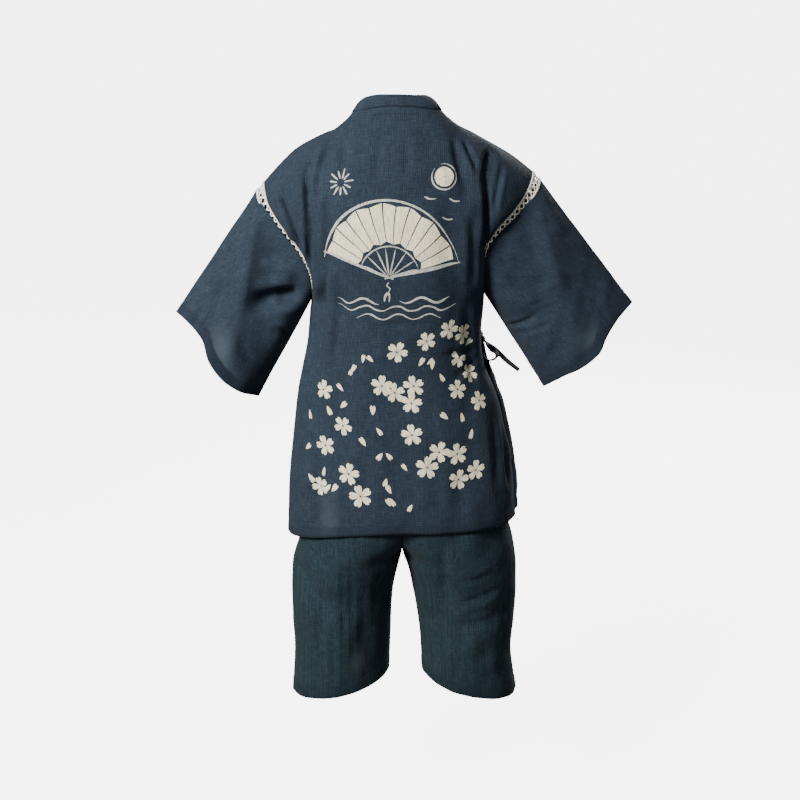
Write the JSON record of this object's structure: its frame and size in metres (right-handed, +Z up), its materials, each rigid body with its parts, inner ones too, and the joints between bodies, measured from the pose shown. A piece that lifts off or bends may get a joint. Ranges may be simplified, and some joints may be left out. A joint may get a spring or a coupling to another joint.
{
  "type": "jinbei set, wrapped jacket and knee shorts",
  "caption": "Summer jinbei set as worn: wrapped, side-tied cotton jacket with lace sleeve seams, and loose knee shorts, as hollow cloth with open neck, cuffs, hem and legs.",
  "frame": {"origin": "middle of the neck opening, level with the back of the neck, where the garment is held by its wearer", "axes": "+Z up, +X to the wearer's left, the front of the garment faces -Y"},
  "size_m": [0.838, 0.272, 1.1595],
  "materials": {
    "jacket_cotton": "crinkled plain weave cotton, matt, slightly see-through",
    "shorts_cotton": "crinkled plain weave cotton, matt, slightly see-through",
    "lace": "cotton lace tape with crossing strands",
    "tie_tape": "folded cotton tape, matt"
  },
  "bodies": {
    "root": {"jacket_back": "jacket_cotton", "jacket_front_left": "jacket_cotton", "jacket_front_right": "jacket_cotton", "collar": "jacket_cotton", "sleeve_left": "jacket_cotton", "sleeve_right": "jacket_cotton", "lace_left_back": "lace", "lace_left_front": "lace", "lace_right_back": "lace", "lace_right_front": "lace", "shorts_back_left": "shorts_cotton", "shorts_front_left": "shorts_cotton", "shorts_back_right": "shorts_cotton", "shorts_front_right": "shorts_cotton", "shorts_waistband": "shorts_cotton", "tie_knot": "tie_tape", "tie_loop_behind": "tie_tape", "tie_tail_behind": "tie_tape", "tie_root_side": "tie_tape", "tie_loop_before": "tie_tape", "tie_tail_before": "tie_tape", "tie_root_before": "tie_tape"}
  },
  "joints": []
}
